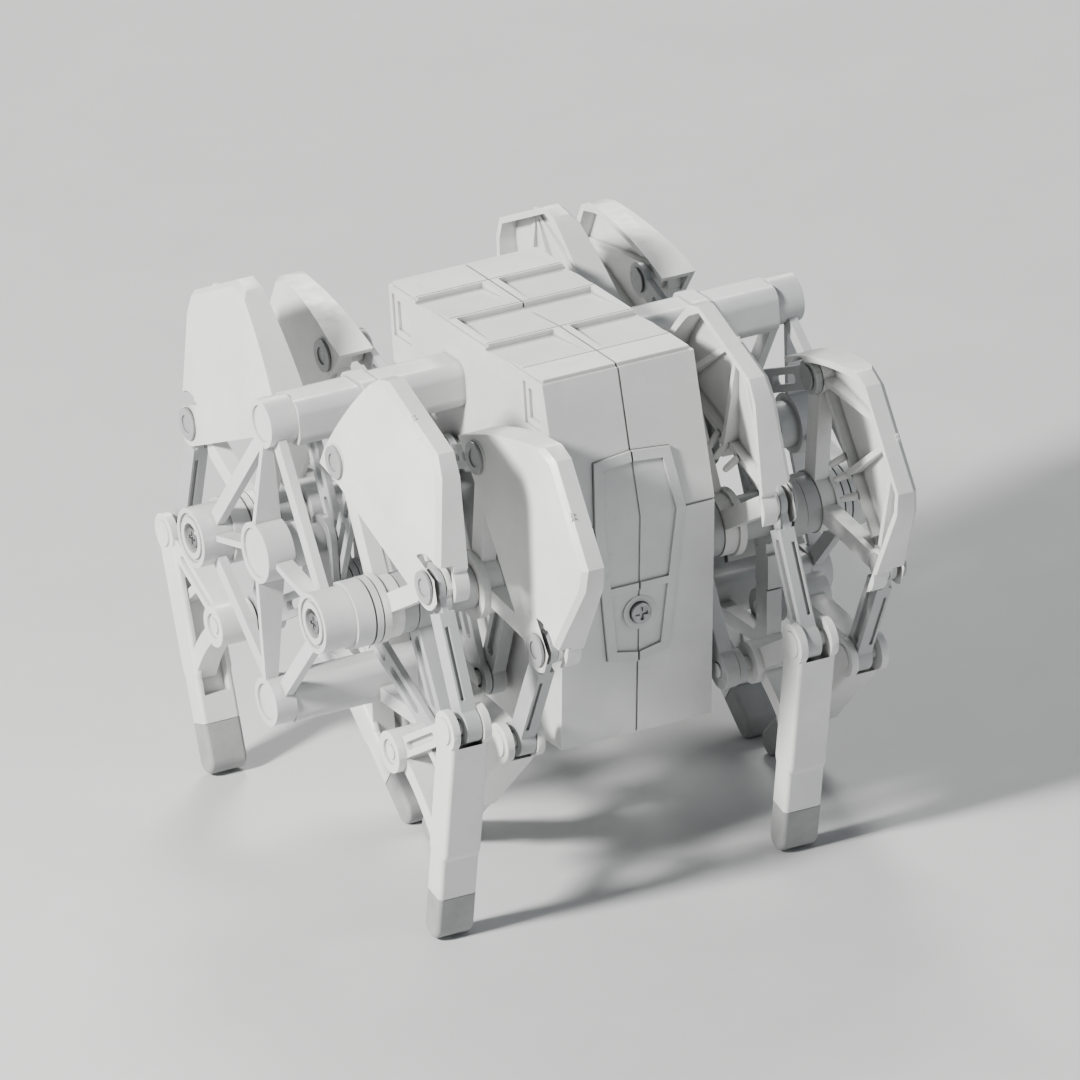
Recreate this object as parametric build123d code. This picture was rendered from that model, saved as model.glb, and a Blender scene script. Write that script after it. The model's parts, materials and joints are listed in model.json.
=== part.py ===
from build123d import *
import math
import os

# Eight-legged crank-driven walking robot. Millimetres, +Z up, X across the two leg modules,
# -Y towards the battery door. The origin is on the ground, under the crank axis.

# --- walking linkage, pivot to pivot -------------------------------------------------------
crank_throw = 10.5
pivot_out = 26.6
pivot_drop = 5.46
upper_rod_length = 35.0
lower_rod_length = 43.33
thigh_rise = 29.05
thigh_span = 39.06
thigh_reach = 28.07
rocker_length = 27.51
front_link_length = 27.58
shin_top = 25.69
shin_back = 34.3
shin_front = 45.99

# --- where things stand across the robot, measured out from the middle plane ------------------
frame_face = 62.3
hub_back = 50.2
top_joint_face = 58.0
top_joint_back = 52.2
bottom_joint_face = 60.9
bottom_joint_back = 56.5
crank_hub_face = 61.1
crank_hub_step = 55.3
crank_hub_back = 51.6
hanger_face = 38.5
hanger_back = 35.3
outer_layer = 53.4
layer_pitch = 21.35
inner_layer = outer_layer - layer_pitch
wall_face = 16.35

# --- pins, shafts and clearances ----------------------------------------------------------
running_gap = 0.05
side_gap = 0.15
open_pivot_gap = 0.5
leg_shaft_radius = 3.4
crank_pin_radius = 2.5
journal_radius = 3.0
thigh_pin_radius = 1.6
shin_pin_radius = 1.5
pin_head_radius = 3.3
pin_head_height = 0.6

# --- leg layer: depths inboard of the layer's outer face ---------------------------------------
skin_depth = 3.7
skin_thickness = 1.2
thigh_depth = 8.0
rim_depth = 11.0
rim_wall = 1.3
link_swing_radius = 6.4
reach = 200.0
match_tolerance = 0.01
rib_thickness = 1.2
thigh_hub_radius = 6.3
rocker_hub_radius = 6.2
joint_clearance = 4.4
skin_slope = 6.6
skin_bevel = 0.9
link_low = 5.15
link_high = 6.65
link_outer = 4.4
link_inner = 7.7
link_slot_gap = 0.3
slot_start = 8.2
rod_thickness = 1.4
rocker_thickness = 2 * rod_thickness + side_gap
slot_pitch = rod_thickness + side_gap
pin_end_depth = slot_start + 4 * slot_pitch + 0.2

# --- leg shapes ------------------------------------------------------------------------------
# Thigh panel corners, from the fixed pivot, along the line to the knee and square to it.
panel_corners = [(-5.6, 30.1), (23.7, 41.0), (27.7, 39.9), (41.6, 23.1), (41.3, 18.2), (33.6, 1.4)]
panel_crown = (8.3, 36.7)
rib_origin_share = 0.5
rim_inner_arc = [(-5.6, 28.67), (8.5, 35.4), (22.1, 39.05)]
rim_open_side = [(28.0, -24.0), (-30.0, -6.0), (-30.0, 20.0)]
rib_ends = [("top", 0.9), ("knee", 0.85), ("pivot", 0.62)]
strut_width = 4.2
arm_width = 3.8
arm_share = 0.7
top_boss_radius = 3.6
top_spacer_radius = 2.6
knee_boss_radius = 3.2
knee_relief_radius = 3.8
knee_rib_stop = 5.6
hub_ring_depth = 1.3
hub_ring_rise = 0.2
cap_thickness = 0.4
cap_rim = 0.9
panel_back = [(24.9, -3.3), (0.0, 25.2)]
knee_radius = 4.6
shin_outer = 1.2
shin_inner = 9.3
ear_thickness = 1.5
shin_half_depth = 3.4
tip_radius = 2.8
tip_height = 7.5
ankle_ear_radius = 4.0
foot_seam = 0.25
shin_edge_radius = 0.9
shin_wide_share = 0.6
trough_ends = (0.2, 0.72)
trough_width = 4.4
trough_shift = 2.6
trough_wall = 1.3
fork_clearance = 4.2
heel_arm_outer = 1.7
heel_arm_inner = 6.3
heel_arm_width = 4.2
heel_arm_groove = 1.6
brace_width = 3.4
brace_end_share = 0.62
web_bar_width = 1.8
heel_boss_radius = 4.2
heel_boss_depth = 7.7
ring_radius = 2.6
ankle_ring_outer = 0.4
ankle_ring_inner = 0.3
ankle_play = 0.15

# --- links and rods ------------------------------------------------------------------------
link_width = 4.4
link_knee_radius = 3.3
link_ankle_radius = 3.4
link_start = 5.4
link_groove_ends = (0.3, 0.82)
link_core_width = 3.2
link_groove = (0.6, 1.3)
groove_width = 1.9
groove_depth = 0.9
rocker_width = 5.0
rocker_heel_radius = 3.9
rocker_groove_ends = (0.3, 0.75)
rocker_groove_width = 2.2
rod_width = 4.8
rod_crank_radius = 4.2
rod_far_radius = 3.6
rod_windows = [(0.2, 0.46), (0.56, 0.8)]

# --- body ------------------------------------------------------------------------------------
wall = 1.6
body_top = 37.1
window_top = 35.6
window_bottom = 26.8
window_spans = [(25.4, 17.8), (-30.8, -37.6)]
body_bottom = -39.2
body_rear = 26.6
front_top = -39.2
front_ridge = -44.5
front_bottom = -37.5
ridge_height = 8.05
plate_rise = 0.7
shingle_drop = 1.2
shingle_margin = 1.7
row_edges = [15.6, 1.3, -14.7, -30.3]
beam_height = 25.8
beam_width = 10.4
beam_depth = 9.3
collar_rise = 0.7
lower_beam_height = -31.3
lower_beam_width = 9.0
lower_beam_depth = 8.6
beam_corner_share = 3.0 / 10.5
frame_top = 26.1
frame_bottom = -31.2
joint_radius = 4.9
hub_radius = 6.0
hub_ring_radius = 6.8
crank_hub_radius = 6.1
hanger_foot = (22.9, -33.4)
rail_width = 3.0
rail_thickness = 1.8
fin_thickness = 1.3
fin_clearance = 4.0
rail_top = 55.2
rail_bottom = 57.8
rail_hub = 58.4
hub_steps = [(55.6, 51.9, 6.7), (51.9, 51.5, 6.0), (51.5, hub_back, 6.8)]
hub_step = 55.6
hub_ring_width = 0.8
hub_ring_outer = 5.0
hub_recess_radius = 3.0
hub_recess_depth = 1.4
mark_depth = 0.5
joint_recess_radius = 3.7
crank_hub_recess_radius = 5.0
crank_collar_radius = 4.6
shaft_run = 4.0
shaft_socket = 1.35
screw_clearance = 0.15
journal_bore_end = 59.3
hanger_ring_radius = 6.2
hanger_core_width = 3.4
hanger_bar_width = 3.0
hanger_pads = [(0.3, 0.56, 5.2), (0.58, 0.93, 4.6), (0.93, 1.0, 5.6)]
sleeve_radius = 6.0
spacer_radius = 4.5

# --- crankshaft webs, out from the middle plane --------------------------------------------------
web_thickness = 1.5
outer_web = outer_layer - 6.5
middle_web = outer_layer - 15.4
second_web = inner_layer - 6.65
disc_face = inner_layer - slot_start - 4 * slot_pitch + 0.1
disc_back = wall_face + 0.3
web_width = 9.0
disc_radius = 13.8
motor_journal_end = 7.0
crank_end = 59.1

# --- battery door, on the folded front of the body ------------------------------------------
door_outline = [(-8.2, 20.2), (0.0, 21.0), (8.2, 20.2), (9.8, 8.05), (6.6, -22.0), (0.0, -23.4),
                (-6.6, -22.0), (-9.8, 8.05)]
door_back = -30.0
door_front = -60.0
door_gap = 0.12
door_floor = 0.85
door_rise = 0.7
door_seat = 0.9
door_ledge = 1.6
door_border = 2.0
door_step = 0.2
door_line_height = -7.0
door_line_width = 1.6
door_split_width = 0.44
door_boss_radius = 3.4
door_boss_height = 1.3
door_screw_block = (4.8, 6.0, 5.0)
door_screw_block_place = -38.4
front_zone = (30.0, 30.0, 60.0)
front_zone_place = -40.0

# --- inside the body -----------------------------------------------------------------------
shell_boss_radius = 5.4
shell_boss_length = 5.5
shell_boss_rise = 1.1
post_radius = 2.8
post_recess = 1.5
post_screw_depth = 6.5
shelf_thickness = 1.2
shelf_depth = 14.0
motor_shelf_depth = 18.0
board_post_radius = 1.8
board_post_heights = (-18.0, 18.0)
board_post_place = 9.0
seam_width = 0.22
seam_depth = 0.4
ridge_groove_size = (0.9, 0.5)
row_line_size = (0.3, 0.6)
gearbox_inner = 1.0
gearbox_outer = 14.0
gearbox_half_depth = 12.0
gearbox_half_height = 11.0
motor_can_radius = 6.0
motor_can_top = 30.0
cell_radius = 5.8
cell_height = 5.4
cell_count = 4
cell_place = -33.2
cell_floor = -10.0
board_face = 21.4
board_thickness = 1.2
board_width = 20.0
board_height = 50.0
switch_travel = 3.0
switch_place = (8.0, 0.0)
switch_size = (4.0, 4.6)
screw_radius = 1.0
screw_head_radius = 2.1
screw_head_height = 1.2
shell_posts = [(-31.0, -33.0), (18.0, -33.0), (-24.0, 31.0), (14.0, 31.5)]
leg_screw_end = 12.0
door_screw_height = -12.6


def crossing(p, p_radius, q, q_radius, pick):
    """The crossing of two circles that is furthest along the direction pick."""
    gap = math.dist(p, q)
    along = (p_radius**2 - q_radius**2 + gap**2) / (2 * gap)
    aside = math.sqrt(p_radius**2 - along**2)
    ux, uy = (q[0] - p[0]) / gap, (q[1] - p[1]) / gap
    foot = (p[0] + along * ux, p[1] + along * uy)
    found = [(foot[0] - side * aside * uy, foot[1] + side * aside * ux) for side in (1, -1)]
    return max(found, key=lambda point: point[0] * pick[0] + point[1] * pick[1])


def leg_points(phase):
    """Pivots of one leg, outward and up from the crank axis, for a crank angle in degrees."""
    turn = math.radians(phase)
    crank = (crank_throw * math.cos(turn), crank_throw * math.sin(turn))
    pivot = (pivot_out, -pivot_drop)
    top = crossing(crank, upper_rod_length, pivot, thigh_rise, (0, 1))
    heel = crossing(crank, lower_rod_length, pivot, rocker_length, (0, -1))
    knee = crossing(top, thigh_span, pivot, thigh_reach, (1, 0))
    ankle = crossing(knee, front_link_length, heel, shin_top, (1, 0))
    foot = crossing(ankle, shin_front, heel, shin_back, (0, -1))
    return {"crank": crank, "pivot": pivot, "top": top, "heel": heel,
            "knee": knee, "ankle": ankle, "foot": foot}


extended = 270
tucked = 90
crank_height = tip_radius - leg_points(tucked)["foot"][1]


# --- flat shapes in the leg plane, and slabs across the robot -------------------------------------
def slab(flat, low, high):
    """A flat shape drawn in the Y-Z plane, made solid from X = low to X = high."""
    return extrude(Plane.YZ.offset(low) * flat, high - low, dir=(1, 0, 0))


def disc(point, radius, low, high):
    return slab(Pos(point[0], point[1]) * Circle(radius), low, high)


def between(p, q, share):
    """The point a share of the way from p to q."""
    return (p[0] + share * (q[0] - p[0]), p[1] + share * (q[1] - p[1]))


def turned(p, q):
    return math.degrees(math.atan2(q[1] - p[1], q[0] - p[0]))


def bar(p, q, width):
    """A round-ended bar between two points."""
    middle = between(p, q, 0.5)
    shape = SlotCenterToCenter(math.dist(p, q), width)
    return Pos(middle[0], middle[1]) * Rot(0, 0, turned(p, q)) * shape


def strip(p, q, width):
    """A square-ended bar between two points."""
    middle = between(p, q, 0.5)
    return Pos(middle[0], middle[1]) * Rot(0, 0, turned(p, q)) * Rectangle(math.dist(p, q), width)


def outline(points):
    return make_face(Polyline(*points, close=True))


def one_solid(shape):
    """The single solid of a shape, or its largest one."""
    return max(shape.solids(), key=lambda solid: solid.volume)


def pin(point, radius, face, end, cap_depth):
    """A pin with a ringed head standing on the panel face, and a cap on its far end."""
    body = disc(point, radius, end, face) + disc(point, pin_head_radius, face, face + pin_head_height)
    body -= disc(point, 0.55 * pin_head_radius, face + 0.5 * pin_head_height, face + 1)
    return one_solid(body + disc(point, radius + cap_rim, cap_depth, cap_depth + cap_thickness))


# --- one leg ----------------------------------------------------------------------------------
def thigh_map(points):
    """A function from thigh coordinates, along and square to pivot-knee, to leg coordinates."""
    turn = math.radians(turned(points["pivot"], points["knee"]))
    base = points["pivot"]

    def place(corner):
        return (base[0] + corner[0] * math.cos(turn) - corner[1] * math.sin(turn),
                base[1] + corner[0] * math.sin(turn) + corner[1] * math.cos(turn))
    return place


def meeting(first, second):
    """Where two lines meet."""
    (ax, ay), (bx, by) = first
    (cx, cy), (dx, dy) = second
    run = (dx - cx) * (by - ay) - (dy - cy) * (bx - ax)
    share = ((cy - ay) * (bx - ax) - (cx - ax) * (by - ay)) / run
    return (cx + share * (dx - cx), cy + share * (dy - cy))


def inset(corners, distance):
    """Corners of an open outline moved inwards, with its two ends run on past the outline."""
    lines = []
    for start, end in zip(corners, corners[1:]):
        length = math.dist(start, end)
        step = (distance * (end[1] - start[1]) / length, distance * (start[0] - end[0]) / length)
        lines.append(((start[0] + step[0], start[1] + step[1]), (end[0] + step[0], end[1] + step[1])))
    moved = [between(lines[0][1], lines[0][0], 1.5)]
    for first, second in zip(lines, lines[1:]):
        moved.append(meeting(first, second))
    moved.append(between(lines[-1][0], lines[-1][1], 1.6))
    return moved


def skin_plane(points, face):
    """The plane of the sloping skin: it holds the top-knee line and falls away beyond it."""
    top, knee, pivot = points["top"], points["knee"], points["pivot"]
    along = Vector(0, knee[0] - top[0], knee[1] - top[1]).normalized()
    away = Vector(0, top[0] - pivot[0], top[1] - pivot[1])
    away = (away - along * away.dot(along)).normalized()
    up = Vector(1, 0, 0) + away * math.tan(math.radians(skin_slope))
    return Plane(origin=(face, *top), x_dir=along, z_dir=up)


def above(plane):
    return plane * Pos(0, 0, reach / 2) * Box(2 * reach, 2 * reach, reach)


def skin_spot(points, spot, face):
    """The point of the sloping skin over a spot of the leg plane."""
    top, knee = points["top"], points["knee"]
    run = (knee[0] - top[0], knee[1] - top[1])
    aside = (spot[1] - top[1]) * run[0] - (spot[0] - top[0]) * run[1]
    drop = abs(aside) / thigh_span * math.tan(math.radians(skin_slope))
    return Vector(face - drop, *spot)


def bevelled(solid, points, corners, face, size):
    """Bevel the skin's edges over the corners, by a slanted cut along each."""
    up = skin_plane(points, face).z_dir
    for start, end in zip(corners, corners[1:]):
        low = skin_spot(points, start, face) - up * size
        run = skin_spot(points, end, face) - up * size - low
        out = Vector(1, 0, 0).cross(run).normalized()
        solid -= above(Plane(origin=low, x_dir=run, z_dir=out + up))
    return solid


def panel_sheet(points, corners, crown, back):
    """Panel outline: an arc from the shoulder over the crown, then straight edges."""
    shoulder, edge_corners = corners[0], corners[1:]
    edge = Polyline(*edge_corners, *back, shoulder)
    return make_face(edge + ThreePointArc(shoulder, crown, edge_corners[0]))


def panel_tray(points, layer, face):
    """The panel as a tray: sloping bevelled skin with a rim along its outer edges."""
    place = thigh_map(points)
    corners = [place(corner) for corner in panel_corners]
    crown = place(panel_crown)
    sheet = panel_sheet(points, corners, crown, [place(corner) for corner in panel_back])
    sheet += Pos(*points["knee"]) * Circle(knee_radius)
    tray = one_solid(slab(sheet, layer - rim_depth, face)) - above(skin_plane(points, face))
    tray = bevelled(tray, points, corners[1:], face, skin_bevel)
    arc = [place(spot) for spot in rim_inner_arc]
    open_side = [place(spot) for spot in rim_open_side]
    edge = Polyline(arc[2], *inset(corners[1:], rim_wall)[1:], *open_side, arc[0])
    hollow = make_face(edge + ThreePointArc(*arc))
    hollow = slab(hollow, layer - rim_depth - 1, face - skin_thickness)
    hollow -= above(skin_plane(points, face - skin_thickness))
    return one_solid(tray - hollow)


def make_thigh(points, layer, rod_depth):
    """Faceted panel, open on the inboard side, with ribs, three hubs and two headed pins."""
    place = thigh_map(points)
    pivot, top, knee = points["pivot"], points["top"], points["knee"]
    face = layer - skin_depth
    floor = face - skin_thickness
    back = layer - thigh_depth
    body = panel_tray(points, layer, face)
    body -= disc(top, joint_clearance, layer - rim_depth - 1, back)
    body -= disc(knee, link_swing_radius, layer - link_inner - link_slot_gap,
                 layer - link_outer + link_slot_gap)
    rib_start = place(between(panel_corners[2], panel_corners[3], rib_origin_share))
    for goal, share in rib_ends:
        rib = strip(rib_start, between(rib_start, points[goal], share), rib_thickness)
        body += slab(rib, back, floor) - above(skin_plane(points, floor + skin_thickness / 2))
    body -= disc(knee, knee_relief_radius, back, floor)
    body += slab(bar(top, pivot, strut_width), back, floor)
    body += slab(bar(pivot, between(pivot, knee, arm_share), arm_width), back, floor)
    body += slab(bar(pivot, knee, arm_width), back, layer - link_high - side_gap)
    body += slab(bar(top, knee, rib_thickness), back + 1, floor) - disc(knee, knee_rib_stop, back, floor)
    body += disc(knee, knee_boss_radius, back, layer - link_high - side_gap)
    body += disc(pivot, thigh_hub_radius, back, face - hub_ring_depth)
    body += disc(pivot, hub_ring_radius, face - hub_ring_depth, face + hub_ring_rise)
    body += disc(top, top_boss_radius, back, face)
    body += disc(top, top_spacer_radius, layer - rod_depth + side_gap, back + cap_thickness)
    body -= disc(pivot, leg_shaft_radius + running_gap, layer - rim_depth, layer)
    body -= disc(top, thigh_pin_radius, layer - rod_depth, layer)
    body -= disc(knee, thigh_pin_radius, layer - rim_depth, layer)
    rod_cap = layer - rod_depth - rod_thickness - side_gap - cap_thickness
    top_pin = pin(top, thigh_pin_radius, face, rod_cap, rod_cap)
    knee_pin = pin(knee, thigh_pin_radius, face, back - cap_thickness, back - cap_thickness)
    return [one_solid(body), top_pin, knee_pin]


def heel_arm(points, layer):
    """Arm from the ankle to the heel, with a bowed brace down to the column and a thin web."""
    heel, ankle, foot = points["heel"], points["ankle"], points["foot"]
    low, high = layer - heel_arm_inner, layer - heel_arm_outer
    brace_end = between(ankle, foot, brace_end_share)
    bow = between(heel, brace_end, 0.55)
    bow = (bow[0] + 0.06 * (ankle[0] - heel[0]), bow[1] + 0.06 * (ankle[1] - heel[1]))
    arm = slab(bar(heel, between(heel, ankle, 0.8), heel_arm_width), low, high)
    arm += slab(trace(ThreePointArc(heel, bow, brace_end), brace_width), low, high)
    web = bar(between(heel, ankle, 0.45), between(ankle, foot, 0.3), web_bar_width)
    arm += slab(web, low + 1, high - 1)
    groove = bar(between(heel, ankle, 0.22), between(heel, ankle, 0.7), heel_arm_groove)
    return arm - slab(groove, high - 1, high + 1)


def make_shin(points, layer):
    """Channel-shaped lower leg with a fork at the ankle, a heel arm with its pin, and a foot."""
    heel, ankle, foot = points["heel"], points["ankle"], points["foot"]
    low, high = layer - shin_inner, layer - shin_outer
    wide_end = between(ankle, foot, shin_wide_share)
    column = bar(ankle, foot, 2 * tip_radius) + bar(ankle, wide_end, 2 * shin_half_depth)
    body = one_solid(slab(column, low, high))
    sides = [edge for edge in body.edges() if abs(edge.center().X - high) < match_tolerance
             or abs(edge.center().X - low) < match_tolerance]
    body = fillet(sides, shin_edge_radius)
    along = ((foot[0] - ankle[0]) / shin_front, (foot[1] - ankle[1]) / shin_front)
    middle = between(ankle, foot, 0.4)
    shift = between((0.0, 0.0), (heel[0] - middle[0], heel[1] - middle[1]),
                    trough_shift / math.dist(heel, middle))
    trough = strip(*[between(ankle, foot, share) for share in trough_ends], trough_width)
    body -= slab(Pos(*shift) * trough, low + trough_wall, high - trough_wall)
    body -= disc(ankle, fork_clearance, low + ear_thickness, high - ear_thickness)
    body += heel_arm(points, layer) - disc(ankle, fork_clearance, low + ear_thickness, high - ear_thickness)
    body += disc(heel, heel_boss_radius, layer - heel_boss_depth, layer)
    body -= disc(heel, ring_radius, layer - mark_depth, layer + 1)
    body += disc(heel, shin_pin_radius, layer - pin_end_depth, layer - hub_ring_rise)
    body += disc(ankle, shin_pin_radius, low - ankle_ring_inner, high + ankle_ring_outer)
    for start, end in ((high - ear_thickness, high), (low, low + ear_thickness)):
        body += disc(ankle, ankle_ear_radius, start, end)
    for start, end in ((high, high + ankle_ring_outer), (low - ankle_ring_inner, low)):
        body += disc(ankle, ring_radius, start, end)
    body = one_solid(body)
    cut = (foot[0] - tip_height * along[0], foot[1] - tip_height * along[1])
    half = reach / 2
    below = Pos(cut[0] + half * along[0], cut[1] + half * along[1])
    below = slab(below * Rot(0, 0, turned(ankle, foot)) * Rectangle(reach, reach), low - 1, high + 1)
    tip = one_solid(body & below)
    seam = [edge for edge in tip.edges()
            if abs((edge.center().Y - cut[0]) * along[0]
                   + (edge.center().Z - cut[1]) * along[1]) < match_tolerance]
    return [one_solid(body - below), one_solid(chamfer(seam, foot_seam))]


def make_front_link(points, layer):
    """Link between knee and ankle: flat in the thigh, a grooved bar below it."""
    knee, ankle = points["knee"], points["ankle"]
    start = between(knee, ankle, link_start / front_link_length)
    low, high = layer - link_inner, layer - link_outer
    body = slab(bar(knee, ankle, link_width), layer - link_high, layer - link_low)
    body += disc(knee, link_knee_radius, layer - link_high, layer - link_low)
    body += slab(strip(start, ankle, link_width), low, high) + disc(ankle, link_ankle_radius, low, high)
    top, bottom = [between(knee, ankle, share) for share in link_groove_ends]
    sides = strip(top, bottom, link_width + 1) - strip(top, bottom, link_core_width)
    body -= slab(sides, high - link_groove[1], high - link_groove[0])
    body -= slab(bar(top, bottom, groove_width), low, low + groove_depth)
    body -= disc(knee, thigh_pin_radius + running_gap, low, high)
    body -= disc(ankle, shin_pin_radius + ankle_play, low, high)
    return [one_solid(body)]


def make_rocker(points, layer, depth):
    """Lower rocker, from the fixed pivot shaft to the heel pin."""
    pivot, heel = points["pivot"], points["heel"]
    low, high = layer - depth - rocker_thickness, layer - depth
    body = slab(bar(pivot, heel, rocker_width), low, high)
    body += disc(pivot, rocker_hub_radius, low, high) + disc(heel, rocker_heel_radius, low, high)
    groove = bar(*[between(pivot, heel, share) for share in rocker_groove_ends], rocker_groove_width)
    body -= slab(groove, high - groove_depth, high) + slab(groove, low, low + groove_depth)
    body -= disc(pivot, leg_shaft_radius + running_gap, low, high)
    body -= disc(heel, shin_pin_radius + running_gap, low, high)
    return [one_solid(body)]


def make_rod(start, end, layer, depth, pin_radius):
    """Connecting rod from the crank pin to an open pivot, with two windows along it."""
    low, high = layer - depth - rod_thickness, layer - depth
    body = slab(bar(start, end, rod_width), low, high)
    body += disc(start, rod_crank_radius, low, high) + disc(end, rod_far_radius, low, high)
    for first, last in rod_windows:
        window = bar(between(start, end, first), between(start, end, last), groove_width)
        body -= slab(window, low, high)
    body -= disc(start, crank_pin_radius + running_gap, low, high)
    body -= disc(end, pin_radius + open_pivot_gap, low, high)
    return [one_solid(body)]


def make_leg(layer, phase, rear):
    """All pieces of one leg in the +X, +Y quarter. The rear leg's rods take the inboard slots."""
    points = leg_points(phase)
    upper_depth = slot_start + (2 * slot_pitch if rear else 0)
    lower_depth = upper_depth + slot_pitch
    rocker_depth = slot_start + (0 if rear else 2 * slot_pitch)
    return {
        "thigh": make_thigh(points, layer, upper_depth),
        "shin": make_shin(points, layer),
        "front_link": make_front_link(points, layer),
        "lower_rocker": make_rocker(points, layer, rocker_depth),
        "upper_rod": make_rod(points["crank"], points["top"], layer, upper_depth, thigh_pin_radius),
        "lower_rod": make_rod(points["crank"], points["heel"], layer, lower_depth, shin_pin_radius),
    }


# --- crankshaft ---------------------------------------------------------------------------------
def make_crankshaft(outer_phase):
    """Journals, webs and two opposite pins, on the +X side."""
    axis = (0.0, 0.0)
    outer_pin = leg_points(outer_phase)["crank"]
    inner_pin = (-outer_pin[0], -outer_pin[1])
    body = disc(axis, journal_radius, outer_web - web_thickness, crank_end)
    body += slab(bar(axis, outer_pin, web_width), outer_web - web_thickness, outer_web)
    body += disc(outer_pin, crank_pin_radius, middle_web, outer_web)
    body += slab(bar(outer_pin, axis, web_width), middle_web - web_thickness, middle_web)
    body += disc(axis, journal_radius, second_web - web_thickness, middle_web)
    body += slab(bar(axis, inner_pin, web_width), second_web - web_thickness, second_web)
    body += disc(inner_pin, crank_pin_radius, disc_face, second_web)
    body += disc(axis, disc_radius, disc_back, disc_face)
    body += disc(axis, crank_pin_radius, motor_journal_end, disc_face)
    return [one_solid(body)]


# --- side frame -----------------------------------------------------------------------------------
def rounded_section(height, width, depth):
    return Pos(0, height) * RectangleRounded(width, depth, beam_corner_share * depth)


def rail(start, end):
    """A straight rail between two points in space, flat towards the outside."""
    run = Vector(*end) - Vector(*start)
    plane = Plane(origin=start, x_dir=run.cross(Vector(1, 0, 0)), z_dir=run)
    return extrude(plane * Rectangle(rail_width, rail_thickness), run.length)


def upright_fin(points):
    """A thin fin in the middle plane, from points given outward and up."""
    return extrude(Plane.XZ * outline(points), fin_thickness / 2, both=True)


def make_kite():
    """Open end frame: two joints, two hubs and a crank hub, joined by rails and fins."""
    top, bottom, axis = (0, frame_top), (0, frame_bottom), (0, 0)
    hubs = [(side * pivot_out, -pivot_drop) for side in (1, -1)]
    fin_top, fin_bottom = frame_top - fin_clearance, frame_bottom + fin_clearance
    kite = disc(top, joint_radius, top_joint_back, top_joint_face)
    kite += disc(bottom, joint_radius, bottom_joint_back, bottom_joint_face)
    kite += disc(axis, crank_hub_radius, crank_hub_step, crank_hub_face)
    kite += disc(axis, crank_collar_radius, crank_hub_back, crank_hub_step)
    kite += upright_fin([(top_joint_face, fin_top), (crank_hub_face, joint_radius),
                         (crank_hub_step, joint_radius), (top_joint_face - 2, fin_top)])
    kite += upright_fin([(crank_hub_face, -joint_radius), (bottom_joint_face, fin_bottom),
                         (bottom_joint_face - 2.6, fin_bottom), (crank_hub_step, -joint_radius)])
    for hub in hubs:
        kite += slab(strip(axis, hub, fin_thickness), crank_hub_step + 0.7, crank_hub_face - 1.5)
        kite += rail((rail_top, *top), (rail_hub, *hub))
        kite += rail((rail_bottom, *bottom), (rail_hub, *hub))
        kite += disc(hub, hub_radius, hub_step, frame_face)
        for high, low, radius in hub_steps:
            kite += disc(hub, radius, low, high)
    for hub in hubs:
        ring = Circle(hub_ring_outer) - Circle(hub_ring_outer - hub_ring_width)
        kite -= slab(Pos(*hub) * ring, frame_face - mark_depth, frame_face)
        kite -= disc(hub, hub_recess_radius, frame_face - hub_recess_depth, frame_face)
        kite -= disc(hub, screw_radius + screw_clearance, hub_back, frame_face)
        kite -= disc(hub, leg_shaft_radius, hub_back, hub_back + shaft_run)
    kite -= disc(top, joint_recess_radius, top_joint_face - mark_depth, top_joint_face)
    kite -= disc(bottom, joint_recess_radius, bottom_joint_face - mark_depth, bottom_joint_face)
    kite -= disc(axis, crank_hub_recess_radius, crank_hub_face - mark_depth, crank_hub_face)
    kite -= disc(axis, journal_radius + running_gap, crank_hub_back, journal_bore_end)
    return one_solid(kite)


def make_hanger(side):
    """Half of the middle frame: a strut hanging from a leg shaft, with a foot to the lower beam."""
    hub = (side * pivot_out, -pivot_drop)
    foot = (side * hanger_foot[0], hanger_foot[1])
    shape = Pos(*hub) * Circle(hanger_ring_radius)
    shape += bar((0, hanger_foot[1]), foot, hanger_bar_width) + strip(hub, foot, hanger_core_width)
    for start, end, width in hanger_pads:
        shape += strip(between(hub, foot, start), between(hub, foot, end), width)
    shape -= Pos(*hub) * Circle(spacer_radius)
    shape -= rounded_section(lower_beam_height, lower_beam_width, lower_beam_depth)
    return one_solid(slab(shape, hanger_back, hanger_face))


def make_side_frame():
    """Kite-shaped end frame, middle frame, two beams and two leg shafts with spacer sleeves."""
    hubs = [(side * pivot_out, -pivot_drop) for side in (1, -1)]
    beam = rounded_section(beam_height, beam_width, beam_depth)
    collar = rounded_section(beam_height, beam_width + 2 * collar_rise, beam_depth + 2 * collar_rise)
    top_beam = slab(beam, wall_face, top_joint_back)
    top_beam += slab(collar, hanger_back - collar_rise, hanger_face - collar_rise)
    lower_beam = slab(rounded_section(lower_beam_height, lower_beam_width, lower_beam_depth),
                      wall_face, bottom_joint_back)
    solids = [make_kite(), one_solid(top_beam), one_solid(lower_beam), make_hanger(1), make_hanger(-1)]
    for hub, front in zip(hubs, (False, True)):
        shaft = disc(hub, leg_shaft_radius, wall_face - shaft_socket, hub_back + shaft_run)
        bore = disc(hub, screw_radius + screw_clearance, 0, hub_back + shaft_run)
        solids.append(one_solid(shaft - bore))
        for low, high, radius in sleeve_spans(front):
            sleeve = disc(hub, radius, low, high)
            solids.append(one_solid(sleeve - disc(hub, leg_shaft_radius, low, high)))
    return solids


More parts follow.
